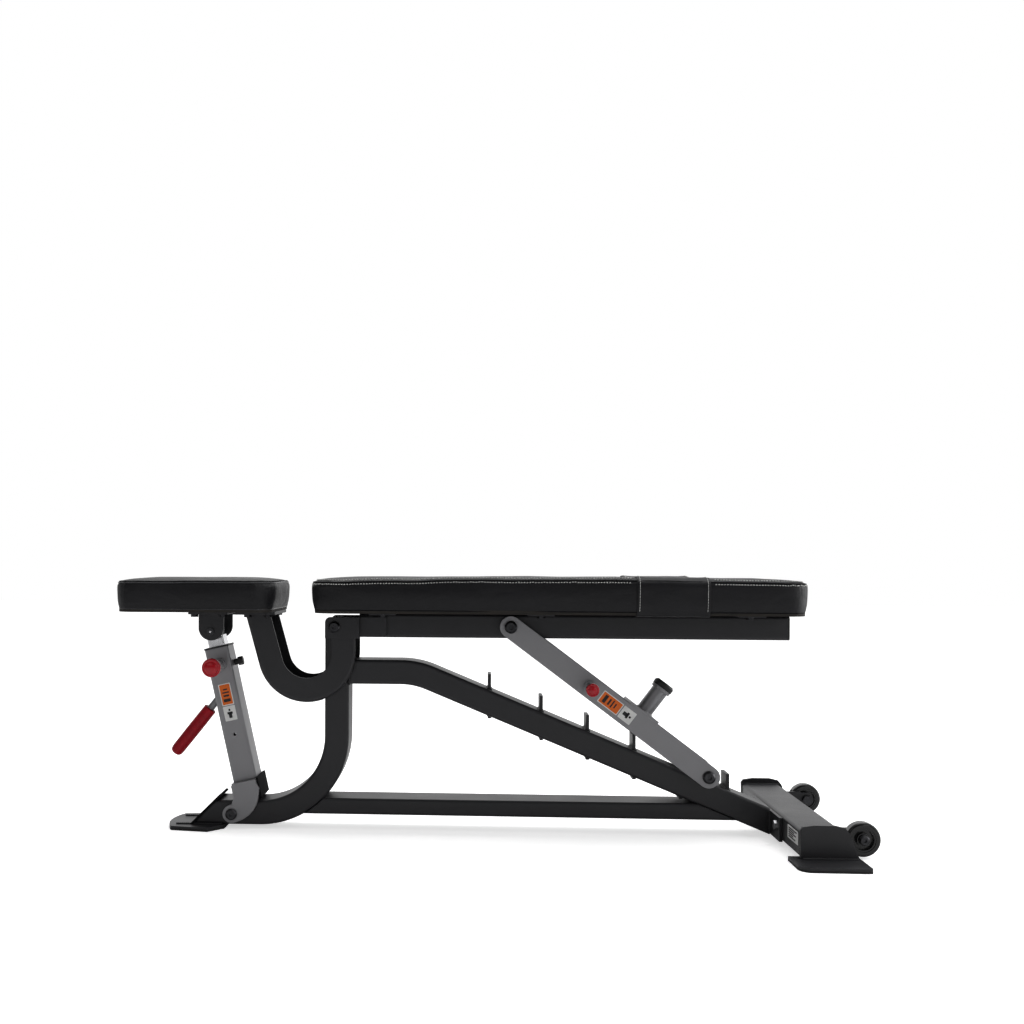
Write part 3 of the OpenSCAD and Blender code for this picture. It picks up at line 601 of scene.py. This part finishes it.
def stitch_row(parts, tree, path, pitch, length, radius, lift=0.0002):
    """Short arched stitches along a path of points, laid on a surface."""
    walked, want = 0.0, 0.0
    pts = []
    for a, b in zip(path, path[1:]):
        seg = (b - a).length
        while want <= walked + seg and seg > 0:
            pts.append(a.lerp(b, (want - walked) / seg))
            want += pitch
        walked += seg
    for a, b in zip(pts, pts[1:]):
        t = (b - a).normalized()
        line = []
        for k, rise in ((-0.5, -0.6), (-0.25, 0.5), (0.25, 0.5), (0.5, -0.6)):
            line.append(near(tree, (a + b) / 2 + t * length * k, lift + radius * rise))
        v, f = tube(line, radius, 5)
        parts.add(v, f)


def seam_bead(parts, tree, path, radius, lift=0.0):
    """A rolled edge of cover along a closed path."""
    def uneven(i):
        return radius * (1 + 0.12 * noise.noise(Vector((i * 0.9, 4.2, 0))))

    parts.add(*tube([near(tree, p, lift) for p in path], uneven, 8, True))


def wavy_ring(dims, inset, z, step, arc):
    """Points round a pad that follow the rise and sag of its sewn edge."""
    ring = plan_ring(*dims, inset, z, step=step, arc=arc, grow=GROW)
    return [p + Vector((0, 0, seam_wave(p.x, p.y))) for p in ring]


seat_lo, seat_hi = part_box("seat_cushion")
back_lo, back_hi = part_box("back_cushion")
band_lo, band_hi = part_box("back_band")
SEAT = (seat_lo.x, seat_hi.x, seat_hi.y - seat_lo.y, SEAT_CORNER)
BACK = (back_lo.x, back_hi.x, back_hi.y - back_lo.y, BACK_CORNER)
seat_seam, back_seam = seat_hi.z - 0.0096, back_hi.z - 0.0076     # under the pads' crowns

seat_pad = make_pad("seat_pad", "seat_cushion", "seat", *SEAT, seat_lo.z, seat_seam,
                    seat_hi.z - 0.0036)
back_pad = make_pad("back_pad", "back_cushion", "back", *BACK, back_lo.z, back_seam,
                    back_hi.z - 0.0012, cross=(band_lo.x, band_hi.x))
seat_tree, back_tree = surface_of(seat_pad), surface_of(back_pad)

# a dead-matt black bead tucked behind the seat's piping: painted shadow standing in for the shade
# in the fold under the seam
fold = Parts()
seam_bead(fold, seat_tree, wavy_ring(SEAT, 0.0042, seat_seam + 0.0030, 0.004, 16), 0.0014, 0.0006)
o = fold.make("seat_pad_seam_shadow", matte_black, "seat")

# piping along each pad's seam, and the cover's rolled edge under the board; the seat's beads are a
# paler, glossier copy of the vinyl: the piping is real, its paleness a painted highlight along the
# seam
for body, dims, low, seam, tree, look in (
        ("seat", SEAT, seat_lo.z, seat_seam, seat_tree, seam_highlight_vinyl),
        ("back", BACK, back_lo.z, back_seam, back_tree, matte_black)):
    beads = Parts()
    seam_bead(beads, tree, wavy_ring(dims, 0.0016, seam + 0.0005, 0.004, 16), 0.0013)
    seam_bead(beads, tree, plan_ring(*dims, 0.006, low + 0.0015, step=0.008, arc=12), 0.0011)
    o = beads.make(body + "_pad_welts", look, body)

# two rows of stitches round the back pad, one on each side of the seam, broken by the band
STITCH_PITCH, STITCH_LENGTH, STITCH_RADIUS = 0.0052, 0.0021, 0.00090
rows = Parts()
for inset, rise, lift in ((-0.0030, -0.0014, 0.0003), (0.0062, 0.012, 0.0004)):
    ring = wavy_ring(BACK, inset, back_seam + rise, 0.006, 14)
    runs = [[]]
    for p in ring + ring[:1]:
        if band_lo.x - 0.002 < p.x < band_hi.x + 0.002:
            runs.append([])
        else:
            runs[-1].append(p)
    for run in runs:
        if len(run) > 1:
            stitch_row(rows, back_tree, run, STITCH_PITCH, STITCH_LENGTH, STITCH_RADIUS, lift)
o = rows.make("back_pad_stitches", white_thread, "back")


# ---------------------------------------------------------------- band round the back pad

BAND_TUCK = 0.0052      # how far the band's ends lie under the pad's lower edge
BAND_SIDE = 0.13        # half the width of the band's top, where it waves up and not outwards


def band_line(x, tree, lift):
    """Points round the pad at x, from under the near side, over the top, to under the far one."""
    half = BACK[2] / 2
    low = back_lo.z - BAND_TUCK
    outline = [Vector((x, -half + 0.020, low - 0.0006)), Vector((x, -half + 0.012, low - 0.0004)),
               Vector((x, -half + 0.0055, low + 0.0006))]
    for z in (back_lo.z + 0.004, back_lo.z + 0.012, back_lo.z + 0.020, back_lo.z + 0.028,
              back_lo.z + 0.036, back_lo.z + 0.044, back_seam - 0.006, back_seam - 0.002):
        hit = tree.ray_cast(Vector((x, -half - 0.03, z)), Y)[0]
        outline.append(hit - Y * lift)
    outline.append(near(tree, Vector((x, -half, back_seam + 0.004)), lift + 0.0004))
    ys = [-half + 0.008, -half + 0.014, -half + 0.022]
    ys += [-half + 0.03 + (2 * half - 0.06) * k / 22 for k in range(23)]
    ys += [half - 0.022, half - 0.014, half - 0.008]
    top = []
    for y in ys:
        hit, normal, _, _ = tree.ray_cast(Vector((x, y, back_hi.z + 0.03)), -Z)
        top.append(hit + normal * lift)
    return outline + top + [Vector((p.x, -p.y, p.z)) for p in outline[::-1]]


def make_band():
    """The wide cover band: a loose sheet with turned hems, laid round the back pad."""
    x0, x1 = band_lo.x, band_hi.x
    xs = [x0, x0 + 0.0012, x0 + 0.004, x0 + 0.009]
    xs += [x0 + 0.009 + (x1 - x0 - 0.018) * k / 16 for k in range(1, 16)]
    xs += [x1 - 0.009, x1 - 0.004, x1 - 0.0012, x1]
    lifts = []
    for x in xs:
        d = min(x - x0, x1 - x)
        lifts.append(0.0008 if d < 0.0005 else 0.0026 if d < 0.010 else 0.0017)
    lines = [band_line(x, back_tree, lift) for x, lift in zip(xs, lifts)]
    n = len(lines[0])
    # loose fabric waves a little, most on the sides
    for i, (x, line) in enumerate(zip(xs, lines)):
        for k, p in enumerate(line):
            wave = noise.noise(Vector((x * 22, k * 0.33, 1.7))) * 0.0009
            if i in (0, len(xs) - 1):
                wave = 0
            out = Y * math.copysign(1, p.y) if abs(p.y) > BAND_SIDE else Z
            line[k] = p + out * abs(wave)
    verts = [p for line in lines for p in line]
    faces = []
    for i in range(len(xs) - 1):
        for k in range(n - 1):
            a, b = i * n + k, (i + 1) * n + k
            faces.append([a, b, b + 1, a + 1])
    obj = add_object("pad_band", verts, faces, band_vinyl)
    solid = obj.modifiers.new("thick", "SOLIDIFY")
    solid.thickness = 0.0011
    solid.offset = -1
    sub = obj.modifiers.new("sub", "SUBSURF")
    sub.levels = sub.render_levels = 1
    apply_modifiers(obj)
    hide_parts("back_band")
    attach(obj, "back")
    return obj


band = make_band()
band_tree = surface_of(band)
sewn = Parts()
for x in (band_lo.x + 0.0055, band_hi.x - 0.0055):
    line = band_line(x, back_tree, 0.004)[3:-3]
    stitch_row(sewn, band_tree, line, pitch=0.0052, length=0.0038, radius=0.00055)
o = sewn.make("band_stitches", white_thread, "back")


# ---------------------------------------------------------------- labels, knobs and small details

def basis(direction):
    """Turns local X along direction in the side view, and local Z towards the near side."""
    d = Vector(direction).normalized()
    up = Vector((0, -1, 0)).cross(d)
    return Matrix((d, up, Vector((0, -1, 0)))).transposed()


def box_mesh(x0, x1, y0, y1, z0, z1, r, n=4):
    """Vertices and faces of a plate with round corners in X and Y."""
    pts = []
    for sx, sy, a0 in CORNERS:
        c = Vector(((x1 if sx > 0 else x0) - sx * r, (y1 if sy > 0 else y0) - sy * r, z0))
        pts += quarter(c, r, a0, n, X, Y)
    return plate(pts, z1 - z0)


def placed(mesh, origin, rot):
    """A mesh turned by rot and moved to origin."""
    verts, faces = mesh
    return [origin + rot @ Vector(v) for v in verts], faces


FILM = 0.00035          # thickness of a sticker
INK = 0.00006           # thickness of a layer of print
PROUD = 0.00002         # how far a sticker stands off the paint


def label(name, node, body, origin, along, orange, white, width):
    """Two generic stickers in a row: an orange one with a white frame, and a white one.

    orange and white are where each starts and ends along the row. There is no lettering."""
    parts = Parts()
    rot = basis(along)
    h = width / 2
    m = h - 0.005       # half width of the print

    def flat(x0, x1, y0, y1, low, high, r, slot, n=4):
        parts.add(*placed(box_mesh(x0, x1, y0, y1, low, high, r, n), origin, rot), slot)

    a0, a1 = orange
    e = a1 - a0
    flat(a0, a1, -h, h, 0, FILM, 0.0015, 1)
    flat(a0 + 0.0018, a1 - 0.0018, -h + 0.0018, h - 0.0018, FILM, FILM + INK, 0.001, 0)
    for u, v, k in ((0.16, 0.30, 1.0), (0.40, 0.48, 0.8), (0.56, 0.62, 0.95), (0.70, 0.76, 0.6)):
        flat(a0 + e * u, a0 + e * v, -m * k, m * k, FILM + INK, FILM + 2 * INK, 0.0004, 2, 2)
    b0, b1 = white
    e = b1 - b0
    flat(b0, b1, -h, h, 0, FILM, 0.0015, 1)
    for u, v, k0, k1 in ((0.18, 0.52, -0.45, 0.45), (0.44, 0.60, -0.75, 0.75),
                         (0.66, 0.80, -0.25, 0.25)):
        flat(b0 + e * u, b0 + e * v, m * k0, m * k1, FILM, FILM + INK, 0.001, 2, 3)
    o = parts.make(name, [label_orange, label_white, label_ink], body, smooth=False)
    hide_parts(node)


def revolve(profile, origin, axis, ref, sides=48, ripple=None):
    """Turns a profile of (radius, height) about axis. ripple(angle, height) scales the radius."""
    axis = Vector(axis).normalized()
    u = (Vector(ref) - axis * Vector(ref).dot(axis)).normalized()
    w = axis.cross(u)
    rings = []
    for r, h in profile:
        ring = []
        for k in range(sides):
            a = 2 * math.pi * k / sides
            rr = r * (ripple(a, h) if ripple else 1)
            ring.append(origin + axis * h + (u * math.cos(a) + w * math.sin(a)) * rr)
        rings.append(ring)
    return loft(rings)


def centre(node):
    """The middle of a CAD piece's box."""
    lo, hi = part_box(node)
    return (lo + hi) / 2


# directions along and across the arm and the post
arm_a, arm_b = centre("arm_pivot_bolts"), centre("arm_cross_pin")
arm_dir = arm_b - arm_a
arm_dir.y = 0
arm_dir.normalize()
arm_up = Vector((0, -1, 0)).cross(arm_dir) * -1
if arm_up.z < 0:
    arm_up = -arm_up
arm_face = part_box("support_arms")[0].y
POST_LEAN = math.radians(12.78)
post_up = Vector((-math.sin(POST_LEAN), 0, math.cos(POST_LEAN)))
post_side = Vector((math.cos(POST_LEAN), 0, math.sin(POST_LEAN)))
post_foot = Vector((-0.462, 0, 0.093))      # on the post's centre line, at its lower end
POST_FACE = -0.030
POST_HALF = 0.0235

label("arm_stickers", "arm_labels", "arms",
      Vector((arm_a.x, arm_face - PROUD, arm_a.z)) + arm_dir * 0.214, arm_dir,
      orange=(0.0, 0.046), white=(0.048, 0.076), width=0.026)
label("post_stickers", "post_labels", "post",
      post_foot + post_up * 0.1195 + Y * (POST_FACE - PROUD), post_up,
      orange=(0.0305, 0.0735), white=(0.0, 0.0290), width=0.024)

serial = Parts()
lo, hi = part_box("serial_label")
rot = Matrix((-Z, -X, Y))                   # local X runs along -Y, local Y along +Z
org = Vector((lo.x + 0.0004, (lo.y + hi.y) / 2, (lo.z + hi.z) / 2))
hw, hh = (hi.y - lo.y) / 2, (hi.z - lo.z) / 2
serial.add(*placed(box_mesh(-hw, hw, -hh, hh, 0, 0.0004, 0.002), org, rot), 0)
for k, end in enumerate((0.75, 0.3, 0.62, 0.1, 0.5)):
    y = hh * (0.62 - k * 0.31)
    line = box_mesh(-hw * 0.8, hw * end, y - 0.0013, y + 0.0013, 0.0004, 0.00045, 0.0004, 2)
    serial.add(*placed(line, org, rot), 1)
o = serial.make("serial_sticker", [label_white, label_ink], "base", smooth=False)
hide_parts("serial_label")


# A knob from its base to its crown, as parts of its radius and of its height
KNOB = (
    (0.30, 0.0), (0.62, 0.0), (0.66, 0.05), (0.60, 0.14), (0.62, 0.22), (0.80, 0.30), (0.95, 0.36),
    (0.995, 0.44), (1.0, 0.55), (1.0, 0.70), (0.985, 0.77), (0.94, 0.84), (0.86, 0.88),
    (0.79, 0.88), (0.74, 0.85), (0.69, 0.86), (0.60, 0.91), (0.44, 0.96), (0.24, 0.99),
    (0.08, 1.0))
FLUTES = 36


def pull_knob(name, node, body):
    """Moulded pull knob: a waist, a faintly fluted rim and a domed end with a groove round it."""
    lo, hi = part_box(node)
    r, h = (hi.z - lo.z) / 2, hi.y - lo.y
    mid = (lo + hi) / 2

    def ripple(a, height):
        start = min(1, max(0, (height - h * 0.28) / (h * 0.12)))
        end = min(1, max(0, (h * 0.98 - height) / (h * 0.2)))
        return 1 - 0.008 * start * end * (0.5 + 0.5 * math.cos(a * FLUTES))

    parts = Parts()
    parts.add(*revolve([(r * a, h * b) for a, b in KNOB], Vector((mid.x, hi.y, mid.z)), -Y, Z, 96,
                       ripple))
    o = parts.make(name, red_plastic, body)
    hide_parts(node)


pull_knob("post_knob_red", "post_pin_knob", "post_pin")
pull_knob("arm_knob_red", "arm_pin_knob", "arm_pin")

# turned bright centres on the seat pin's blackened ends
tips = Parts()
pin_lo, pin_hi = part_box("seat_pin")
for side, y in ((-1, pin_lo.y), (1, pin_hi.y)):
    end = Vector(((pin_lo.x + pin_hi.x) / 2, y, (pin_lo.z + pin_hi.z) / 2))
    tips.add(*revolve([(0.0024, -0.0004), (0.0024, 0.0003), (0.0018, 0.0007), (0.0004, 0.0008)],
                      end, Y * side, Z, 20))
o = tips.make("seat_pin_centres", chrome_tube, "seat")

# hand grip: a plain moulded sleeve, a little fuller in the middle, with a rounded end
GRIP_R = 0.0125
GRIP_TILT = math.radians(-180 + 51.4)       # from the post's own direction
rod_root = post_foot + post_up * 0.165 - post_side * POST_HALF
axis = post_up * math.cos(GRIP_TILT) + post_side * math.sin(GRIP_TILT)
prof = [(0.0072, 0.0), (0.0112, 0.0), (0.0122, 0.0005), (GRIP_R, 0.0016), (GRIP_R, 0.006)]
for k in range(1, 10):
    prof.append((GRIP_R + 0.00035 * math.sin(math.pi * k / 10), 0.006 + 0.0092 * k))
prof += [(GRIP_R, 0.100), (0.0122, 0.1045), (0.0114, 0.1085), (0.0098, 0.1115), (0.0070, 0.1132),
         (0.0030, 0.114)]
grip = Parts()
grip.add(*revolve(prof, rod_root + axis * 0.025, axis, Y, 40))
o = grip.make("hand_grip", red_foam, "post")
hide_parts("post_handle_grip")


# ---------------------------------------------------------------- welds

def weld(parts, path, radius=0.0022, closed=True, seed=0.0):
    """A rippled bead along a path of corners. seed makes each bead uneven in its own way."""
    def rippled(i):
        return radius * (0.86 + 0.14 * math.cos(i * 1.7)
                         + 0.10 * noise.noise(Vector((i * 0.13, seed, 0))))

    fine = []
    n = len(path)
    for i in range(n if closed else n - 1):
        a, b = Vector(path[i]), Vector(path[(i + 1) % n])
        count = max(1, round((b - a).length / 0.0011))
        fine += [a.lerp(b, k / count) for k in range(count)]
    if not closed:
        fine.append(Vector(path[-1]))
    parts.add(*tube(fine, rippled, 6, closed))


def rounded_yz(x, hy, z0, z1, r=0.006, n=4):
    """Round a tube's section on the plane at x."""
    pts = []
    for sy, sz, a0 in CORNERS:
        pts += quarter(Vector((x, sy * (hy - r), (z1 if sz > 0 else z0) - sz * r)), r, a0, n, Y, Z)
    return pts


LADDER_SLOPE = math.radians(22.3)
slope = math.tan(LADDER_SLOPE)
ladder_half = 0.0235 / math.cos(LADDER_SLOPE)       # from the ladder's centre line straight up


def rung_ring(x, rise):
    """Round a rung's foot at x, on the ladder's face that is rise above its centre line."""
    z = 0.3075 - (x + 0.128) * slope + rise
    hx, hy = 0.0035, 0.0255
    return [Vector((x + dx, y, z - dx * slope))
            for dx, y in ((-hx, -hy), (hx, -hy), (hx, hy), (-hx, hy))]


base_welds = Parts()
for x in (0.014, 0.114, 0.203, 0.292, 0.381, 0.4425, 0.470):
    weld(base_welds, rung_ring(x, ladder_half + 0.0002), seed=x * 9)
    weld(base_welds, rung_ring(x, -ladder_half - 0.0002), seed=x * 5)
weld(base_welds, rounded_yz(-0.2575, 0.0385, 0.2835, 0.3315), 0.0028, seed=1.0)
# beads that run at one Y on each side: Y, the corners' X and Z, radius and seed
SIDE_BEADS = (
    (0.0385, ((0.5465, 0.010), (0.5465, 0.0515)), 0.0026, 2.0),                     # flange
    (0.2297, ((0.5535, 0.0085), (0.5535, 0.0545), (0.6285, 0.0545), (0.6285, 0.0085)),
     0.0024, 3.0),                                                                  # end plate
    (0.2365, ((0.5555, 0.0085), (0.6500, 0.0085)), 0.0024, 5.0),                    # its foot
    (0.0384, ((-0.595, 0.0086), (-0.505, 0.0086)), 0.0024, 7.0),                    # front foot
)
for s in (-1, 1):
    for y, corners, radius, seed in SIDE_BEADS:
        weld(base_welds, [Vector((x, s * y, z)) for x, z in corners], radius, False, seed + s)
o = base_welds.make("frame_welds", charcoal, "base")

back_welds = Parts()
for s in (-1, 1):
    bead = [Vector((-0.2385, s * 0.0392, z)) for z in (0.3765, 0.4135)]
    weld(back_welds, bead, closed=False, seed=9.0 + s)
o = back_welds.make("back_welds", charcoal, "back")

arm_welds = Parts()
STUB_R = 0.0163
stub = arm_a + arm_dir * 0.306 + arm_up * 0.026     # where the stub handle meets its plate
stub.y = 0
turns = [2 * math.pi * k / 40 for k in range(40)]
weld(arm_welds, [stub + (arm_dir * math.cos(a) + Y * math.sin(a)) * STUB_R for a in turns],
     seed=11.0)
o = arm_welds.make("arm_welds", silver, "arms")


# ---------------------------------------------------------------- stage, light and camera

FLOOR_GLOW = 0.70


def stage_material():
    """White studio floor: seen directly it glows a little, so only the contact shadows show."""
    n = Nodes("studio_floor")
    cloud = n.noise(0.8, 2)
    tone = n.mix(n.ramp(cloud, 0, 1, 0.3, 0.7), (0.86, 0.86, 0.86), (0.88, 0.88, 0.88))
    seen = n.new("ShaderNodeLightPath").outputs["Is Camera Ray"]
    n.link(tone, n.bsdf.inputs["Emission Color"])
    n.link(n.math("MULTIPLY", seen, FLOOR_GLOW), n.bsdf.inputs["Emission Strength"])
    return n.finish(tone, 0.9, None, Specular__IOR__Level=0.0)


floor = add_object("floor", [(14 * x, 14 * y, 0) for x, y in ((-1, -1), (1, -1), (1, 1), (-1, 1))],
                   [[0, 1, 2, 3]], stage_material(), smooth=False)


def area(name, location, target, size, power):
    """A soft light, size[0] by size[1] metres, at location and turned to target."""
    data = bpy.data.lights.new(name, "AREA")
    data.shape = "RECTANGLE"
    data.size, data.size_y = size
    data.energy = power
    obj = bpy.data.objects.new(name, data)
    scene.collection.objects.link(obj)
    obj.location = location
    aim = Vector(target) - Vector(location)
    obj.rotation_euler = aim.to_track_quat("-Z", "Y").to_euler()


area("top_light", (0.1, 0.5, 2.6), (0, 0.1, 0.3), (3.4, 1.8), 34)
area("right_light", (3.0, 0.6, 0.9), (0.2, 0, 0.3), (1.6, 1.8), 22)
area("front_light", (-1.6, -2.8, 1.9), (0, 0, 0.25), (2.6, 1.4), 6)
area("corner_light", (1.5, -1.9, 0.9), (0.62, -0.2, 0.04), (0.5, 0.4), 2.2)


BRIGHT_SIDE = (0.50, 0.80, 0.32)    # towards the brighter half: to the right, behind and above


def studio_world(front, back):
    """White backdrop in sight, that lights the bench with front and back as its two strengths."""
    world = bpy.data.worlds.new("studio")
    scene.world = world
    world.use_nodes = True
    tree = world.node_tree
    bg = tree.nodes["Background"]
    where = tree.nodes.new("ShaderNodeTexCoord")
    aim = tree.nodes.new("ShaderNodeVectorMath")
    aim.operation = "DOT_PRODUCT"
    aim.inputs[1].default_value = BRIGHT_SIDE
    ramp = tree.nodes.new("ShaderNodeMapRange")
    ramp.interpolation_type = "SMOOTHSTEP"
    ramp.inputs["From Min"].default_value, ramp.inputs["From Max"].default_value = -0.30, 0.35
    ramp.inputs["To Min"].default_value, ramp.inputs["To Max"].default_value = front, back
    tree.links.new(where.outputs["Generated"], aim.inputs[0])
    tree.links.new(aim.outputs["Value"], ramp.inputs["Value"])
    seen = tree.nodes.new("ShaderNodeLightPath")
    shown = tree.nodes.new("ShaderNodeMath")
    shown.operation = "MAXIMUM"
    tree.links.new(seen.outputs["Is Camera Ray"], shown.inputs[0])
    tree.links.new(ramp.outputs[0], shown.inputs[1])
    tree.links.new(shown.outputs[0], bg.inputs[1])
    bg.inputs[0].default_value = (1, 1, 1, 1)


studio_world(0.15, 1.0)
scene.view_settings.view_transform = "Standard"
scene.view_settings.look = "None"
scene.view_settings.gamma = 0.86

cam_data = bpy.data.cameras.new("camera")
cam = bpy.data.objects.new("camera", cam_data)
scene.collection.objects.link(cam)
cam_data.sensor_width = 36
cam_data.lens = 42.13
cam_data.shift_x = 0.1003
cam_data.shift_y = 0.0527
cam_data.clip_start, cam_data.clip_end = 0.05, 60
cam.location = (-0.013, -2.350, 0.5132)
CAMERA_TURN, CAMERA_ROLL = math.radians(3.19), math.radians(0.27)
cam.rotation_euler = (Matrix.Rotation(CAMERA_TURN, 3, "Z")
                      @ Matrix.Rotation(math.radians(90), 3, "X")
                      @ Matrix.Rotation(CAMERA_ROLL, 3, "Z")).to_euler()
scene.camera = cam
